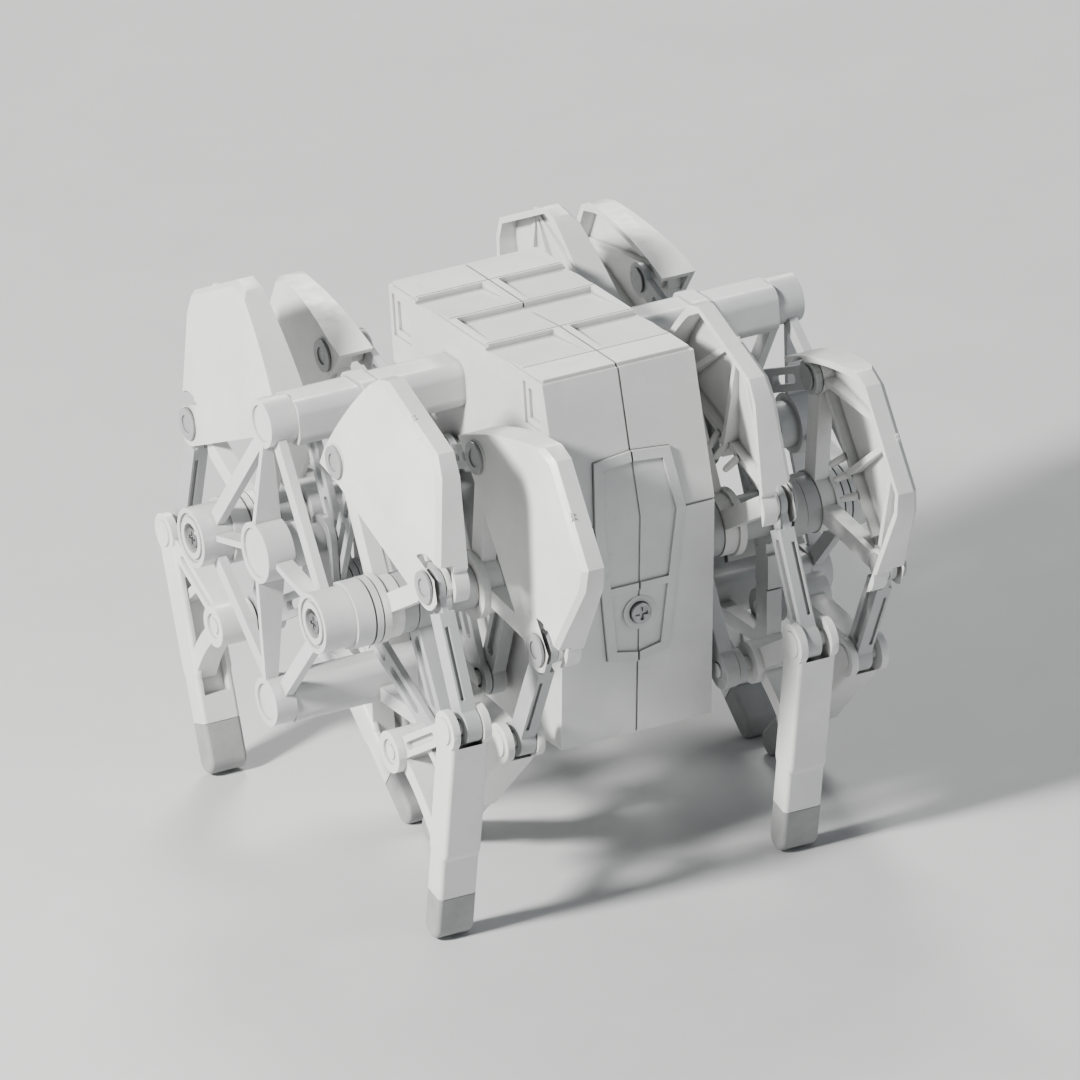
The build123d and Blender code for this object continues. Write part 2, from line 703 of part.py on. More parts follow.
def sleeve_spans(front):
    """Where the sleeves lie on a leg shaft, between the thigh hubs and the rockers, and their radii."""
    rocker_depth = slot_start + (2 * slot_pitch if front else 0)
    rocker_end = outer_layer - rocker_depth - rocker_thickness
    thigh_hub_face = inner_layer - skin_depth + hub_ring_rise
    spans = [(thigh_hub_face + side_gap, rocker_end - side_gap, spacer_radius)]
    for layer in (outer_layer, inner_layer):
        hub_end = layer - thigh_depth - side_gap
        rocker_start = layer - rocker_depth + side_gap
        if hub_end - rocker_start > 1:
            spans.append((rocker_start, hub_end, sleeve_radius))
    return spans


# --- body shells --------------------------------------------------------------------------------
def body_profile(margin):
    """Side view of the body, with the front folded at the ridge, grown by a margin."""
    points = [(front_top, body_top), (front_ridge, ridge_height), (front_bottom, body_bottom),
              (body_rear, body_bottom), (body_rear, body_top)]
    face = outline(points)
    return offset(face, margin, kind=Kind.INTERSECTION) if margin else face


def door_prism(margin):
    """Door shape drawn on the body front, grown by a margin and run right through the front."""
    face = outline(door_outline)
    if margin:
        face = offset(face, margin, kind=Kind.INTERSECTION)
    return extrude(Plane.XZ.offset(-door_back) * face, door_back - door_front, dir=(0, -1, 0))


def front_layer(inner_margin, outer_margin):
    """A layer that follows the folded front of the body, between two margins."""
    layer = slab(body_profile(outer_margin), -wall_face, wall_face)
    layer -= slab(body_profile(inner_margin), -reach, reach)
    return layer & Pos(0, front_zone_place, 0) * Box(*front_zone)


def make_shell():
    """Right-hand half of the body, on the +X side."""
    body = slab(body_profile(0), 0, wall_face) - slab(body_profile(-wall), -1, wall_face - wall)
    hubs = [(side * pivot_out, -pivot_drop) for side in (1, -1)]
    for hub in hubs:
        body += disc(hub, shell_boss_radius, wall_face - shell_boss_length, wall_face + shell_boss_rise)
    for post in shell_posts:
        body += disc(post, post_radius, 0, wall_face)
    shelves = [(cell_place, cell_floor - shelf_thickness, shelf_depth),
               (cell_place, cell_floor + cell_count * cell_height, shelf_depth),
               (0.0, -gearbox_half_height - shelf_thickness - 0.2, motor_shelf_depth)]
    for place, floor, depth in shelves:
        middle = Pos((wall_face + 1) / 2, place, floor + shelf_thickness / 2)
        body += middle * Box(wall_face - 1.6, depth, shelf_thickness)
    board_back = board_face + board_thickness
    for height in board_post_heights:
        middle = Pos(board_post_place, (board_back + body_rear) / 2, height)
        body += middle * Rot(90, 0, 0) * Cylinder(board_post_radius, body_rear - board_back)
    for hub in hubs:
        body -= disc(hub, leg_shaft_radius, wall_face - shaft_socket, wall_face + 2)
        body -= disc(hub, screw_radius, wall_face - shell_boss_length + 1, wall_face + 2)
    for post in shell_posts:
        body -= disc(post, screw_radius + screw_clearance, -1, wall_face)
        body -= disc(post, screw_head_radius + screw_clearance, wall_face - post_recess, wall_face)
    body -= disc((0, 0), crank_pin_radius + running_gap, wall_face - wall - 1, wall_face + 1)
    for rear_edge, front_edge in window_spans:
        body -= side_window(rear_edge, front_edge)
    body += top_plate()
    body -= shingles()
    body -= door_prism(-door_ledge)
    body -= Pos(wall_face / 2, front_ridge, ridge_height) * Box(wall_face + 2, *ridge_groove_size)
    body -= slab(body_profile(2) - body_profile(-seam_depth), -1, seam_width)
    block_width, block_depth, block_height = door_screw_block
    block_middle = Pos(block_width / 2, door_screw_block_place, door_screw_height)
    body += block_middle * Box(block_width, block_depth, block_height)
    body -= door_prism(door_gap) & front_layer(-door_seat, 2)
    body -= door_screw_hole(screw_radius)
    return one_solid(body)


def side_window(rear_edge, front_edge):
    """Stepped recess in the side wall, at the top, between two places along the body."""
    window = None
    for border, depth in ((0.0, 0.5), (1.3, 1.1)):
        width = rear_edge - front_edge - 2 * border
        height = window_top - window_bottom - 2 * border
        centre = Pos((rear_edge + front_edge) / 2, (window_top + window_bottom) / 2)
        step = slab(centre * Rectangle(width, height), wall_face - depth, wall_face)
        window = step if window is None else window + step
    return window


def top_plate():
    """Raised plate on the top, a little inside the body's edges."""
    length = body_rear - front_top - 1.6
    return Pos(wall_face / 2 - 0.3, (body_rear + front_top) / 2, body_top + plate_rise / 2 - 0.05) * Box(
        wall_face - 0.6, length, plate_rise + 0.1)


def shingles():
    """Sloping recesses in rows across the top, deep at the rear edge, and lines between the rows."""
    surface = body_top + plate_rise
    cuts = None
    for index, (rear_edge, front_edge) in enumerate(zip(row_edges, row_edges[1:])):
        wedge = outline([(rear_edge - 0.6, surface + 1), (rear_edge - 0.6, surface - shingle_drop),
                         (front_edge + 0.2, surface), (front_edge + 0.2, surface + 1)])
        low, high = (shingle_margin, wall_face + 1) if index % 2 == 0 else (-1, wall_face - shingle_margin)
        cell = slab(wedge, low, high)
        cuts = cell if cuts is None else cuts + cell
    for edge in row_edges:
        cuts += Pos(wall_face / 2, edge, surface) * Box(wall_face + 2, *row_line_size)
    return cuts


def door_screw_hole(radius):
    return Pos(0, front_zone_place, door_screw_height) * Rot(90, 0, 0) * Cylinder(radius, 20)


def make_door():
    """Battery door, folded like the body front, with a raised border and a split line."""
    door = door_prism(0) & front_layer(-door_floor, door_rise)
    door -= door_prism(-door_border) & front_layer(door_step, 2)
    line = Pos(0, front_zone_place, door_line_height) * Box(front_zone[0], front_zone[1], door_line_width)
    door += door_prism(-door_step) & front_layer(door_step / 2, door_rise) & line
    split = Pos(0, front_zone_place, 0) * Box(door_split_width, *front_zone[1:])
    door -= front_layer(-door_step / 2, 2) & split
    door -= door_screw_hole(screw_radius + screw_clearance)
    seat = front_at(door_screw_height) - 0.6
    boss = Cylinder(door_boss_radius, door_boss_height) - Cylinder(screw_radius + screw_clearance,
                                                                   door_boss_height)
    door += Pos(0, seat + 0.45, door_screw_height) * Rot(90, 0, 0) * boss
    recess = Cylinder(screw_head_radius + screw_clearance, 2.0)
    door -= Pos(0, seat - 0.9, door_screw_height) * Rot(90, 0, 0) * recess
    return [one_solid(door)]


def front_at(height):
    """Y of the lower front facet at a height."""
    share = (ridge_height - height) / (ridge_height - body_bottom)
    return front_ridge + share * (front_bottom - front_ridge)


# --- inside pieces ----------------------------------------------------------------------------------
def make_gear_motor():
    """Sealed right-angle gear motor on the +X side."""
    middle = (gearbox_inner + gearbox_outer) / 2
    width = gearbox_outer - gearbox_inner
    body = Pos(middle, 0, 0) * Box(width, 2 * gearbox_half_depth, 2 * gearbox_half_height)
    can_height = motor_can_top - gearbox_half_height
    body += Pos(middle, 0, gearbox_half_height + can_height / 2) * Cylinder(motor_can_radius, can_height)
    body -= disc((0, 0), crank_pin_radius + running_gap, motor_journal_end - 0.5, gearbox_outer)
    return one_solid(body)


def make_cells():
    places = [cell_floor + (index + 0.5) * cell_height for index in range(cell_count)]
    return [one_solid(Pos(0, cell_place, place) * (Cylinder(cell_radius, cell_height - 0.5)
            + Cylinder(cell_radius - 1.2, cell_height))) for place in places]


def make_board():
    board = Pos(0, board_face + board_thickness / 2, 0) * Box(board_width, board_thickness, board_height)
    for x, z, width, height in ((-5.0, 8.0, 7.0, 7.0), (6.0, 12.0, 5.0, 4.0), (0.0, -12.0, 9.0, 5.0)):
        board += Pos(x, board_face - 0.6, z) * Box(width, 1.6, height)
    return [one_solid(board)]


def make_switch():
    """Slide switch knob through the underside, with its flange inside the wall."""
    x, y = switch_place
    knob = Pos(x, y - switch_travel / 2, body_bottom + 0.5) * Box(switch_size[0], switch_size[1], 3.4)
    for step in (-1.2, 0.0, 1.2):
        knob -= Pos(x, y - switch_travel / 2 + step, body_bottom - 1.2) * Box(switch_size[0], 0.5, 0.8)
    flange = Pos(x, y - switch_travel / 2, body_bottom + wall + 0.1 + 0.5) * Box(
        switch_size[0] + 2.4, switch_size[1] + 6.0, 1.0)
    return [one_solid(knob + flange)]


def switch_slot():
    x, y = switch_place
    width, length = switch_size[0] + 0.4, switch_size[1] + switch_travel + 0.4
    return Pos(x, y, body_bottom + wall / 2) * Box(width, length, wall + 1)


def make_screw(length):
    """Pan-head screw along +X, with its head's underside at X = 0."""
    screw = Pos(-length / 2, 0, 0) * Rot(0, 90, 0) * Cylinder(screw_radius, length)
    head = Cylinder(screw_head_radius, screw_head_height)
    screw += Pos(screw_head_height / 2, 0, 0) * Rot(0, 90, 0) * head
    for turn in (0, 90):
        screw -= Pos(screw_head_height, 0, 0) * Rot(turn, 0, 0) * Box(1.0, 2.6, 0.6)
    return one_solid(screw)


def make_screws():
    """Four leg shaft screws, four shell screws and the door screw."""
    screws = []
    head = frame_face - hub_recess_depth
    for side in (1, -1):
        for front in (1, -1):
            screw = Pos(head, front * pivot_out, -pivot_drop) * make_screw(head - leg_screw_end)
            screws.append(screw if side > 0 else mirror(screw, about=Plane.YZ))
    for post in shell_posts:
        head = wall_face - post_recess
        screws.append(Pos(head, *post) * make_screw(head + post_screw_depth - 0.5))
    seat = front_at(door_screw_height) - 0.5
    screws.append(Pos(0, seat, door_screw_height) * Rot(0, 0, -90) * make_screw(5.0))
    return screws


# --- writing --------------------------------------------------------------------------------------
def write(name, solids):
    placed = [Pos(0, 0, crank_height) * solid for solid in solids]
    shape = placed[0] if len(placed) == 1 else Compound(children=placed)
    shape.label = name
    export_step(shape, os.path.join("parts", name + ".step"))


def mirrored(solids, side, end):
    """Copies of solids, mirrored to the -X side and to the -Y end where asked."""
    result = []
    for solid in solids:
        if side < 0:
            solid = mirror(solid, about=Plane.YZ)
        if end < 0:
            solid = mirror(solid, about=Plane.XZ)
        result.append(one_solid(solid))
    return result


def write_legs():
    for layer_name, layer in (("outer", outer_layer), ("inner", inner_layer)):
        for phase in (extended, tucked):
            side = -1 if (phase == extended) == (layer_name == "outer") else 1
            side_name = "left" if side < 0 else "right"
            for end_name, end in (("front", -1), ("rear", 1)):
                pieces = make_leg(layer, phase, end > 0)
                for piece, solids in pieces.items():
                    name = f"{piece}_{side_name}_{layer_name}_{end_name}"
                    write(name, mirrored(solids, side, end))


def write_body():
    shell = make_shell()
    write("shell_right", [one_solid(shell - switch_slot())])
    plain = shell
    for post in shell_posts:
        plain += disc(post, post_radius, post_screw_depth + 0.5, wall_face)
        plain -= disc(post, screw_radius, -1, post_screw_depth)
    write("shell_left", mirrored([plain], -1, 1))
    write("battery_door", make_door())
    gear_motor = make_gear_motor()
    write("gear_motors", [gear_motor, one_solid(Rot(0, 0, 180) * gear_motor)])
    write("batteries", make_cells())
    write("circuit_board", make_board())
    write("power_switch", make_switch())
    write("screws", make_screws())


def write_modules():
    frame = make_side_frame()
    write("side_frame_right", mirrored(frame, 1, 1))
    write("side_frame_left", mirrored(frame, -1, 1))
    write("crankshaft_right", mirrored(make_crankshaft(tucked), 1, 1))
    write("crankshaft_left", mirrored(make_crankshaft(extended), -1, 1))


os.makedirs("parts", exist_ok=True)
write_legs()
write_body()
write_modules()
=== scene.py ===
import json
import math

import bmesh
import bpy
import numpy as np
from mathutils import Matrix, Vector


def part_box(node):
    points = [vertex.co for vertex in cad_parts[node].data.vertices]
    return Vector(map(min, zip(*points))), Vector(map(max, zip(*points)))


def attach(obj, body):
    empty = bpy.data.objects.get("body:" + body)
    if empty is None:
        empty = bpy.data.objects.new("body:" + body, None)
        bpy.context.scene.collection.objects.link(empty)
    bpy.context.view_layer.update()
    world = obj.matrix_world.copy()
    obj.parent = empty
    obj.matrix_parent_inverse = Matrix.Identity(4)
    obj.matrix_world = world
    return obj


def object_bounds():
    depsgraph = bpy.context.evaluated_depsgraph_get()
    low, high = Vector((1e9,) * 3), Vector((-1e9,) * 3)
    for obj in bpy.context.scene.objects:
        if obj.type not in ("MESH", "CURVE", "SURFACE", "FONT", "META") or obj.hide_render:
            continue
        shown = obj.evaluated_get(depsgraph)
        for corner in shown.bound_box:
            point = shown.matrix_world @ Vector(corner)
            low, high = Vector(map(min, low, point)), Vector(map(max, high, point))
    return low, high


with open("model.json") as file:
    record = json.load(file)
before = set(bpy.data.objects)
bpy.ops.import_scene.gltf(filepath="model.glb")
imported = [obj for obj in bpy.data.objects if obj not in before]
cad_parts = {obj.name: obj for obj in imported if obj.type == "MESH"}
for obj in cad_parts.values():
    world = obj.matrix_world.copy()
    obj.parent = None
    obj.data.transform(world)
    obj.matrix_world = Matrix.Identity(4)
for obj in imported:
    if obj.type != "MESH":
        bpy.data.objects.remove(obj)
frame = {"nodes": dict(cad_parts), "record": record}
cad_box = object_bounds()

# --- settings: lengths in metres --------------------------------------------------------------
# How far sharp CAD edges are rounded, by the start of the node's name.
EDGE_ROUND = {"shell": 0.00045, "thigh": 0.00035, "shin": 0.0003, "side_frame": 0.00035,
              "battery_door": 0.00025, "crankshaft": 0.0002}
SMALL_EDGE = 0.00016
ROUND_SEGMENTS = 2
SHARP_ANGLE = math.radians(28)
FLAT_ANGLE = math.radians(0.6)
WELD_REACH = 0.000002
NORMAL_WEIGHT = 80
CORNER_GRID = 1e6

# A side frame's leg shafts and spacer sleeves are known by their widths.
SHAFT_WIDTH = 0.0072
SLEEVE_WIDTH = 0.0125
SLEEVE_STRETCH = 1.6

EDGE_WEAR_REACH = 0.0005
RUBBER_WEAR_REACH = 0.0007
# Painted shade in seams and inner corners: how far its occlusion test looks, and the dark tint
# it mixes into the colour.
CORNER_SHADE_REACH = 0.0016
CORNER_SHADE_TINT = (0.27, 0.26, 0.24)
# How far a rounded normal turns from the flat one, as a cosine: on flat ground, and at an edge.
FLAT_COSINE = 0.995
EDGE_COSINE = 0.86
EDGE_SAMPLES = 4
# The share of open sky seen in a deep corner, and on an open face.
CORNER_SKY = 0.3
OPEN_SKY = 0.82
CORNER_SAMPLES = 6
PLASTIC_IOR = 1.5
SKIN_DEPTHS = (0.0012, 0.0011, 0.001)
# Noise scales, in cycles for each metre.
FLOW_SCALE = 55.0
MOTTLE_SCALE = 420.0
SPARK_SCALE = 5200.0
SCRATCH_SCALE = 900.0
BLOOM_SCALE = 160.0
CHALK_SCALE = 3600.0
CLOUD_SCALE = 700.0
TURNING_SCALE = 2500.0
WEAVE_SCALE = 1800.0
FIBRE_SCALE = 30.0
# How noise is stretched to make scratches, turning marks and glass weave.
SCRATCH_STRETCH = (1.0, 0.07, 1.0)
TURNING_STRETCH = (1.0, 12.0, 12.0)
WEAVE_STRETCH = (1.0, 1.0, 0.2)

# The thigh's bars from pivot to top pin and from top pin to knee, and the pegs along the second.
THIGH_RISE = 0.02905
THIGH_SPAN = 0.03906
PEG_SHARES = (0.43, 0.52, 0.64)
PEG_RINGS = ((0.0, 0.0008), (0.82, 0.00068), (0.95, 0.00055), (1.0, 0.0003))
PEG_SIDES = 20
PEG_LENGTH = 0.0034
PEG_BASE_DEPTH = 0.0039
PEG_LEAN = 0.0024

FLOOR_SIZE = 6.0
FLOOR_TONES = ((0.66, 0.664, 0.668), (0.69, 0.694, 0.698))
WARM_WHITE = (1.0, 0.985, 0.96)
COOL_WHITE = (0.90, 0.95, 1.0)
# Each light: name, place, disc size, power in watts, colour.
LIGHTS = (("key", (-1.0, -0.22, 0.72), 0.2, 22.0, WARM_WHITE),
          ("fill", (0.7, -0.95, 0.4), 0.8, 1.5, COOL_WHITE),
          ("rim", (0.45, 0.9, 0.9), 0.4, 8.0, WARM_WHITE))
WORLD_COLOUR = (0.86, 0.9, 0.94, 1.0)
WORLD_STRENGTH = 0.17

VIEW_AZIMUTH = math.radians(-25.7)
VIEW_ELEVATION = math.radians(21.9)
VIEW_ROLL = math.radians(-3.6)
LENS = 600.0
SENSOR = 36.0
OBJECT_SHARE = 0.86
FAR_CLIP = 100.0


# --- node material helpers --------------------------------------------------------------------
class Nodes:
    """A material's node tree, with short calls to add and join its nodes."""

    def __init__(self, name):
        self.material = bpy.data.materials.new(name)
        self.material.use_nodes = True
        self.tree = self.material.node_tree
        self.shader = self.tree.nodes["Principled BSDF"]
        self.place = self.add("ShaderNodeTexCoord").outputs["Object"]

    def add(self, kind, **settings):
        node = self.tree.nodes.new(kind)
        for key, value in settings.items():
            setattr(node, key, value)
        return node

    def join(self, source, target):
        self.tree.links.new(source, target)

    def noise(self, scale, detail, rough, stretch=None):
        node = self.add("ShaderNodeTexNoise")
        node.inputs["Scale"].default_value = scale
        node.inputs["Detail"].default_value = detail
        node.inputs["Roughness"].default_value = rough
        source = self.place
        if stretch:
            mapping = self.add("ShaderNodeMapping")
            mapping.inputs["Scale"].default_value = stretch
            self.join(source, mapping.inputs["Vector"])
            source = mapping.outputs["Vector"]
        self.join(source, node.inputs["Vector"])
        return node.outputs["Fac"]

    def ranged(self, source, low, high, to_low, to_high):
        node = self.add("ShaderNodeMapRange")
        node.inputs["From Min"].default_value = low
        node.inputs["From Max"].default_value = high
        node.inputs["To Min"].default_value = to_low
        node.inputs["To Max"].default_value = to_high
        self.join(source, node.inputs["Value"])
        return node.outputs["Result"]

    def math(self, kind, first, second):
        node = self.add("ShaderNodeMath", operation=kind)
        for socket, value in zip(node.inputs, (first, second)):
            if isinstance(value, (int, float)):
                socket.default_value = value
            else:
                self.join(value, socket)
        return node.outputs[0]

    def mix(self, share, first, second):
        node = self.add("ShaderNodeMix", data_type="RGBA")
        for name, value in (("Factor", share), ("A", first), ("B", second)):
            socket = next(item for item in node.inputs if item.name == name and item.enabled)
            if isinstance(value, tuple):
                socket.default_value = (*value, 1.0)
            elif isinstance(value, (int, float)):
                socket.default_value = value
            else:
                self.join(value, socket)
        return next(item for item in node.outputs if item.enabled)

    def bump(self, layers):
        """Stacks height layers, each (height, strength, distance)."""
        normal = None
        for height, strength, distance in layers:
            node = self.add("ShaderNodeBump")
            node.inputs["Strength"].default_value = strength
            node.inputs["Distance"].default_value = distance
            self.join(height, node.inputs["Height"])
            if normal is not None:
                self.join(normal, node.inputs["Normal"])
            normal = node.outputs["Normal"]
        self.join(normal, self.shader.inputs["Normal"])

    def edges(self, radius):
        """1 along sharp outer edges and corners, 0 on flat ground."""
        bevel = self.add("ShaderNodeBevel", samples=EDGE_SAMPLES)
        bevel.inputs["Radius"].default_value = radius
        geometry = self.add("ShaderNodeNewGeometry")
        dot = self.add("ShaderNodeVectorMath", operation="DOT_PRODUCT")
        self.join(bevel.outputs["Normal"], dot.inputs[0])
        self.join(geometry.outputs["Normal"], dot.inputs[1])
        return self.ranged(dot.outputs["Value"], FLAT_COSINE, EDGE_COSINE, 0.0, 1.0)

    def crevices(self, reach):
        """Mask for painted shade: 1 deep in seams and inner corners, 0 on open faces."""
        node = self.add("ShaderNodeAmbientOcclusion", samples=CORNER_SAMPLES)
        node.inputs["Distance"].default_value = reach
        return self.ranged(node.outputs["AO"], CORNER_SKY, OPEN_SKY, 1.0, 0.0)


def scaled(colour, factor, lift=0.0):
    """A colour multiplied by factor, with lift added, and at most 1."""
    return tuple(min(1.0, factor * part + lift) for part in colour)


def moulded_plastic(name, colour, rough, grain, wear, soft=0.0, corner_shade=0.55):
    """Satin moulded plastic: spark texture, flow marks, rubbed edges, painted shade in corners.
    """
    nodes = Nodes(name)
    shader = nodes.shader
    flow = nodes.noise(FLOW_SCALE, 4.0, 0.55)
    mottle = nodes.noise(MOTTLE_SCALE, 3.0, 0.6)
    spark = nodes.noise(SPARK_SCALE, 2.0, 0.5)
    edge = nodes.math("MULTIPLY", nodes.edges(EDGE_WEAR_REACH),
                      nodes.ranged(mottle, 0.42, 0.62, 0.0, wear))
    tone = nodes.mix(nodes.ranged(flow, 0.35, 0.65, 0.0, 1.0),
                     scaled(colour, 0.93), scaled(colour, 1.03, 0.005))
    dust = scaled(colour, 0.86)
    tone = nodes.mix(nodes.ranged(mottle, 0.62, 0.8, 0.0, 0.5), tone, dust)
    worn = scaled(colour, 0.6, 0.38)
    tone = nodes.mix(edge, tone, worn)
    # Painted shade: an ambient occlusion mask darkens the colour in seams and inner corners.
    corner_shade_colour = tuple(share * part for share, part in zip(CORNER_SHADE_TINT, colour))
    tone = nodes.mix(nodes.math("MULTIPLY", nodes.crevices(CORNER_SHADE_REACH), corner_shade), tone, corner_shade_colour)
    nodes.join(tone, shader.inputs["Base Color"])
    shine = nodes.ranged(mottle, 0.3, 0.7, rough - 0.05, rough + 0.09)
    shine = nodes.math("SUBTRACT", shine, nodes.math("MULTIPLY", edge, 0.12))
    nodes.join(shine, shader.inputs["Roughness"])
    shader.inputs["IOR"].default_value = PLASTIC_IOR
    shader.inputs["Specular IOR Level"].default_value = 0.5
    if soft:
        shader.inputs["Subsurface Weight"].default_value = soft
        shader.inputs["Subsurface Radius"].default_value = SKIN_DEPTHS
        shader.inputs["Subsurface Scale"].default_value = 1.0
    scratch = nodes.noise(SCRATCH_SCALE, 2.0, 0.5, SCRATCH_STRETCH)
    nodes.bump([(flow, 0.10, 0.0004), (spark, 0.22 * grain, 0.00006), (scratch, 0.05, 0.00005)])
    return nodes.material


def rubber(name, colour):
    """Soft matte moulding with a chalky bloom and scuffed high spots."""
    nodes = Nodes(name)
    shader = nodes.shader
    bloom = nodes.noise(BLOOM_SCALE, 4.0, 0.65)
    chalk = nodes.noise(CHALK_SCALE, 3.0, 0.6)
    scuff = nodes.math("MULTIPLY", nodes.edges(RUBBER_WEAR_REACH),
                       nodes.ranged(bloom, 0.4, 0.65, 0.1, 0.7))
    pale = scaled(colour, 1.35, 0.03)
    tone = nodes.mix(nodes.ranged(bloom, 0.35, 0.75, 0.0, 0.6), colour, pale)
    tone = nodes.mix(scuff, tone, scaled(colour, 0.5, 0.22))
    nodes.join(tone, shader.inputs["Base Color"])
    nodes.join(nodes.ranged(bloom, 0.3, 0.7, 0.66, 0.86), shader.inputs["Roughness"])
    shader.inputs["Specular IOR Level"].default_value = 0.35
    shader.inputs["Sheen Weight"].default_value = 0.12
    shader.inputs["Sheen Roughness"].default_value = 0.5
    nodes.bump([(bloom, 0.15, 0.0003), (chalk, 0.4, 0.00008)])
    return nodes.material


def plated_steel(name, colour, rough):
    """Zinc-plated steel with fine turning marks and cloudy patches."""
    nodes = Nodes(name)
    shader = nodes.shader
    cloud = nodes.noise(CLOUD_SCALE, 3.0, 0.6)
    turning = nodes.noise(TURNING_SCALE, 2.0, 0.5, TURNING_STRETCH)
    tone = nodes.mix(nodes.ranged(cloud, 0.35, 0.7, 0.0, 1.0), colour, scaled(colour, 0.7))
    nodes.join(tone, shader.inputs["Base Color"])
    shine = nodes.ranged(cloud, 0.3, 0.7, rough - 0.06, rough + 0.16)
    nodes.join(shine, shader.inputs["Roughness"])
    shader.inputs["Metallic"].default_value = 1.0
    shader.inputs["Anisotropic"].default_value = 0.35
    nodes.bump([(turning, 0.2, 0.00003)])
    return nodes.material


def circuit_green(name):
    """Green solder mask with a faint glass weave."""
    nodes = Nodes(name)
    shader = nodes.shader
    weave = nodes.noise(WEAVE_SCALE, 2.0, 0.5, WEAVE_STRETCH)
    tone = nodes.mix(nodes.ranged(weave, 0.35, 0.65, 0.0, 1.0),
                     (0.02, 0.12, 0.05), (0.03, 0.2, 0.09))
    nodes.join(tone, shader.inputs["Base Color"])
    nodes.join(nodes.ranged(weave, 0.3, 0.7, 0.25, 0.45), shader.inputs["Roughness"])
    nodes.bump([(weave, 0.2, 0.00004)])
    return nodes.material


def paper_floor(name):
    """Plain pale paper, a little cloudy."""
    nodes = Nodes(name)
    shader = nodes.shader
    fibre = nodes.noise(FIBRE_SCALE, 5.0, 0.6)
    tone = nodes.mix(nodes.ranged(fibre, 0.3, 0.7, 0.0, 1.0), *FLOOR_TONES)
    nodes.join(tone, shader.inputs["Base Color"])
    shader.inputs["Roughness"].default_value = 0.75
    shader.inputs["Specular IOR Level"].default_value = 0.25
    nodes.bump([(fibre, 0.05, 0.0005)])
    return nodes.material


# Moulded plastics: colour, roughness, grain, edge wear, then softness under the skin and
# strength of the painted shade in corners.
PLASTICS = {
    "panel_plastic": ((0.76, 0.765, 0.755), 0.38, 1.0, 0.3, 0.04),
    "body_plastic": ((0.72, 0.725, 0.72), 0.42, 1.0, 0.3, 0.04),
    "door_plastic": ((0.66, 0.667, 0.665), 0.44, 1.0, 0.3),
    "frame_plastic": ((0.66, 0.67, 0.67), 0.40, 0.9, 0.35),
    "link_plastic": ((0.50, 0.51, 0.515), 0.34, 0.6, 0.4),
    "crank_plastic": ((0.30, 0.305, 0.31), 0.33, 0.5, 0.25),
    "pin_plastic": ((0.40, 0.405, 0.41), 0.3, 0.5, 0.4, 0.0, 0.8),
    "motor_case": ((0.03, 0.03, 0.032), 0.4, 1.0, 0.2),
    "switch_plastic": ((0.03, 0.03, 0.032), 0.38, 1.0, 0.3),
}
materials = {name: moulded_plastic(name, *looks) for name, looks in PLASTICS.items()}
materials["foot_rubber"] = rubber("foot_rubber", (0.33, 0.335, 0.335))
materials["screw_steel"] = plated_steel("screw_steel", (0.45, 0.45, 0.46), 0.3)
materials["cell_steel"] = plated_steel("cell_steel", (0.62, 0.62, 0.62), 0.22)
materials["board"] = circuit_green("board")


# --- CAD nodes: materials by solid, and rounded edges -----------------------------------------
def closed_solids(mesh):
    """Lists of polygon indices, one for each closed solid, in the order they are stored."""
    corner = [tuple(round(part * CORNER_GRID) for part in vertex.co) for vertex in mesh.vertices]
    groups = []
    current = []
    open_edges = set()
    for polygon in mesh.polygons:
        current.append(polygon.index)
        ends = [corner[index] for index in polygon.vertices]
        for first, second in zip(ends, ends[1:] + ends[:1]):
            if first != second:
                open_edges ^= {(min(first, second), max(first, second))}
        if not open_edges:
            groups.append(current)
            current = []
    if current:
        groups.append(current)
    return groups


def extent(mesh, group):
    """Lowest and highest corner of a group of polygons."""
    points = np.array([mesh.vertices[index].co
                       for face in group for index in mesh.polygons[face].vertices])
    return points.min(0), points.max(0)


def paint_solids(node, chooser, names):
    """Gives each closed solid of a node the material that chooser names."""
    item = frame["nodes"][node]
    mesh = item.data
    mesh.materials.clear()
    for name in names:
        mesh.materials.append(materials[name])
    groups = closed_solids(mesh)
    sizes = [extent(mesh, group) for group in groups]
    for group, size in zip(groups, sizes):
        slot = names.index(chooser(size, sizes))
        for face in group:
            mesh.polygons[face].material_index = slot


def biggest(size, sizes):
    """True for the solid whose box is the largest of the node's."""
    volumes = [np.prod(high - low) for low, high in sizes]
    return np.prod(size[1] - size[0]) >= 0.999 * max(volumes)


def thigh_chooser(size, sizes):
    return "panel_plastic" if biggest(size, sizes) else "pin_plastic"


def shin_chooser(size, sizes):
    return "panel_plastic" if biggest(size, sizes) else "foot_rubber"


def frame_chooser(size, _sizes):
    """Leg shafts and their spacer sleeves differ from the frame's own moulding."""
    long, wide, tall = size[1] - size[0]
    if max(wide, tall) < SHAFT_WIDTH:
        return "pin_plastic"
    if max(wide, tall) < SLEEVE_WIDTH and long < wide * SLEEVE_STRETCH:
        return "link_plastic"
    return "frame_plastic"


def soften(item, width):
    """Welds a CAD mesh, clears its flat faces of needless edges and rounds its sharp ones."""
    weld = item.modifiers.new("weld", "WELD")
    weld.merge_threshold = WELD_REACH
    flat = item.modifiers.new("flat", "DECIMATE")
    flat.decimate_type = "DISSOLVE"
    flat.angle_limit = FLAT_ANGLE
    flat.delimit = {"MATERIAL"}
    round_off = item.modifiers.new("round", "BEVEL")
    round_off.width = width
    round_off.segments = ROUND_SEGMENTS
    round_off.limit_method = "ANGLE"
    round_off.angle_limit = SHARP_ANGLE
    round_off.use_clamp_overlap = True
    round_off.harden_normals = True
    for polygon in item.data.polygons:
        polygon.use_smooth = True
    normals = item.modifiers.new("normals", "WEIGHTED_NORMAL")
    normals.keep_sharp = False
    normals.weight = NORMAL_WEIGHT


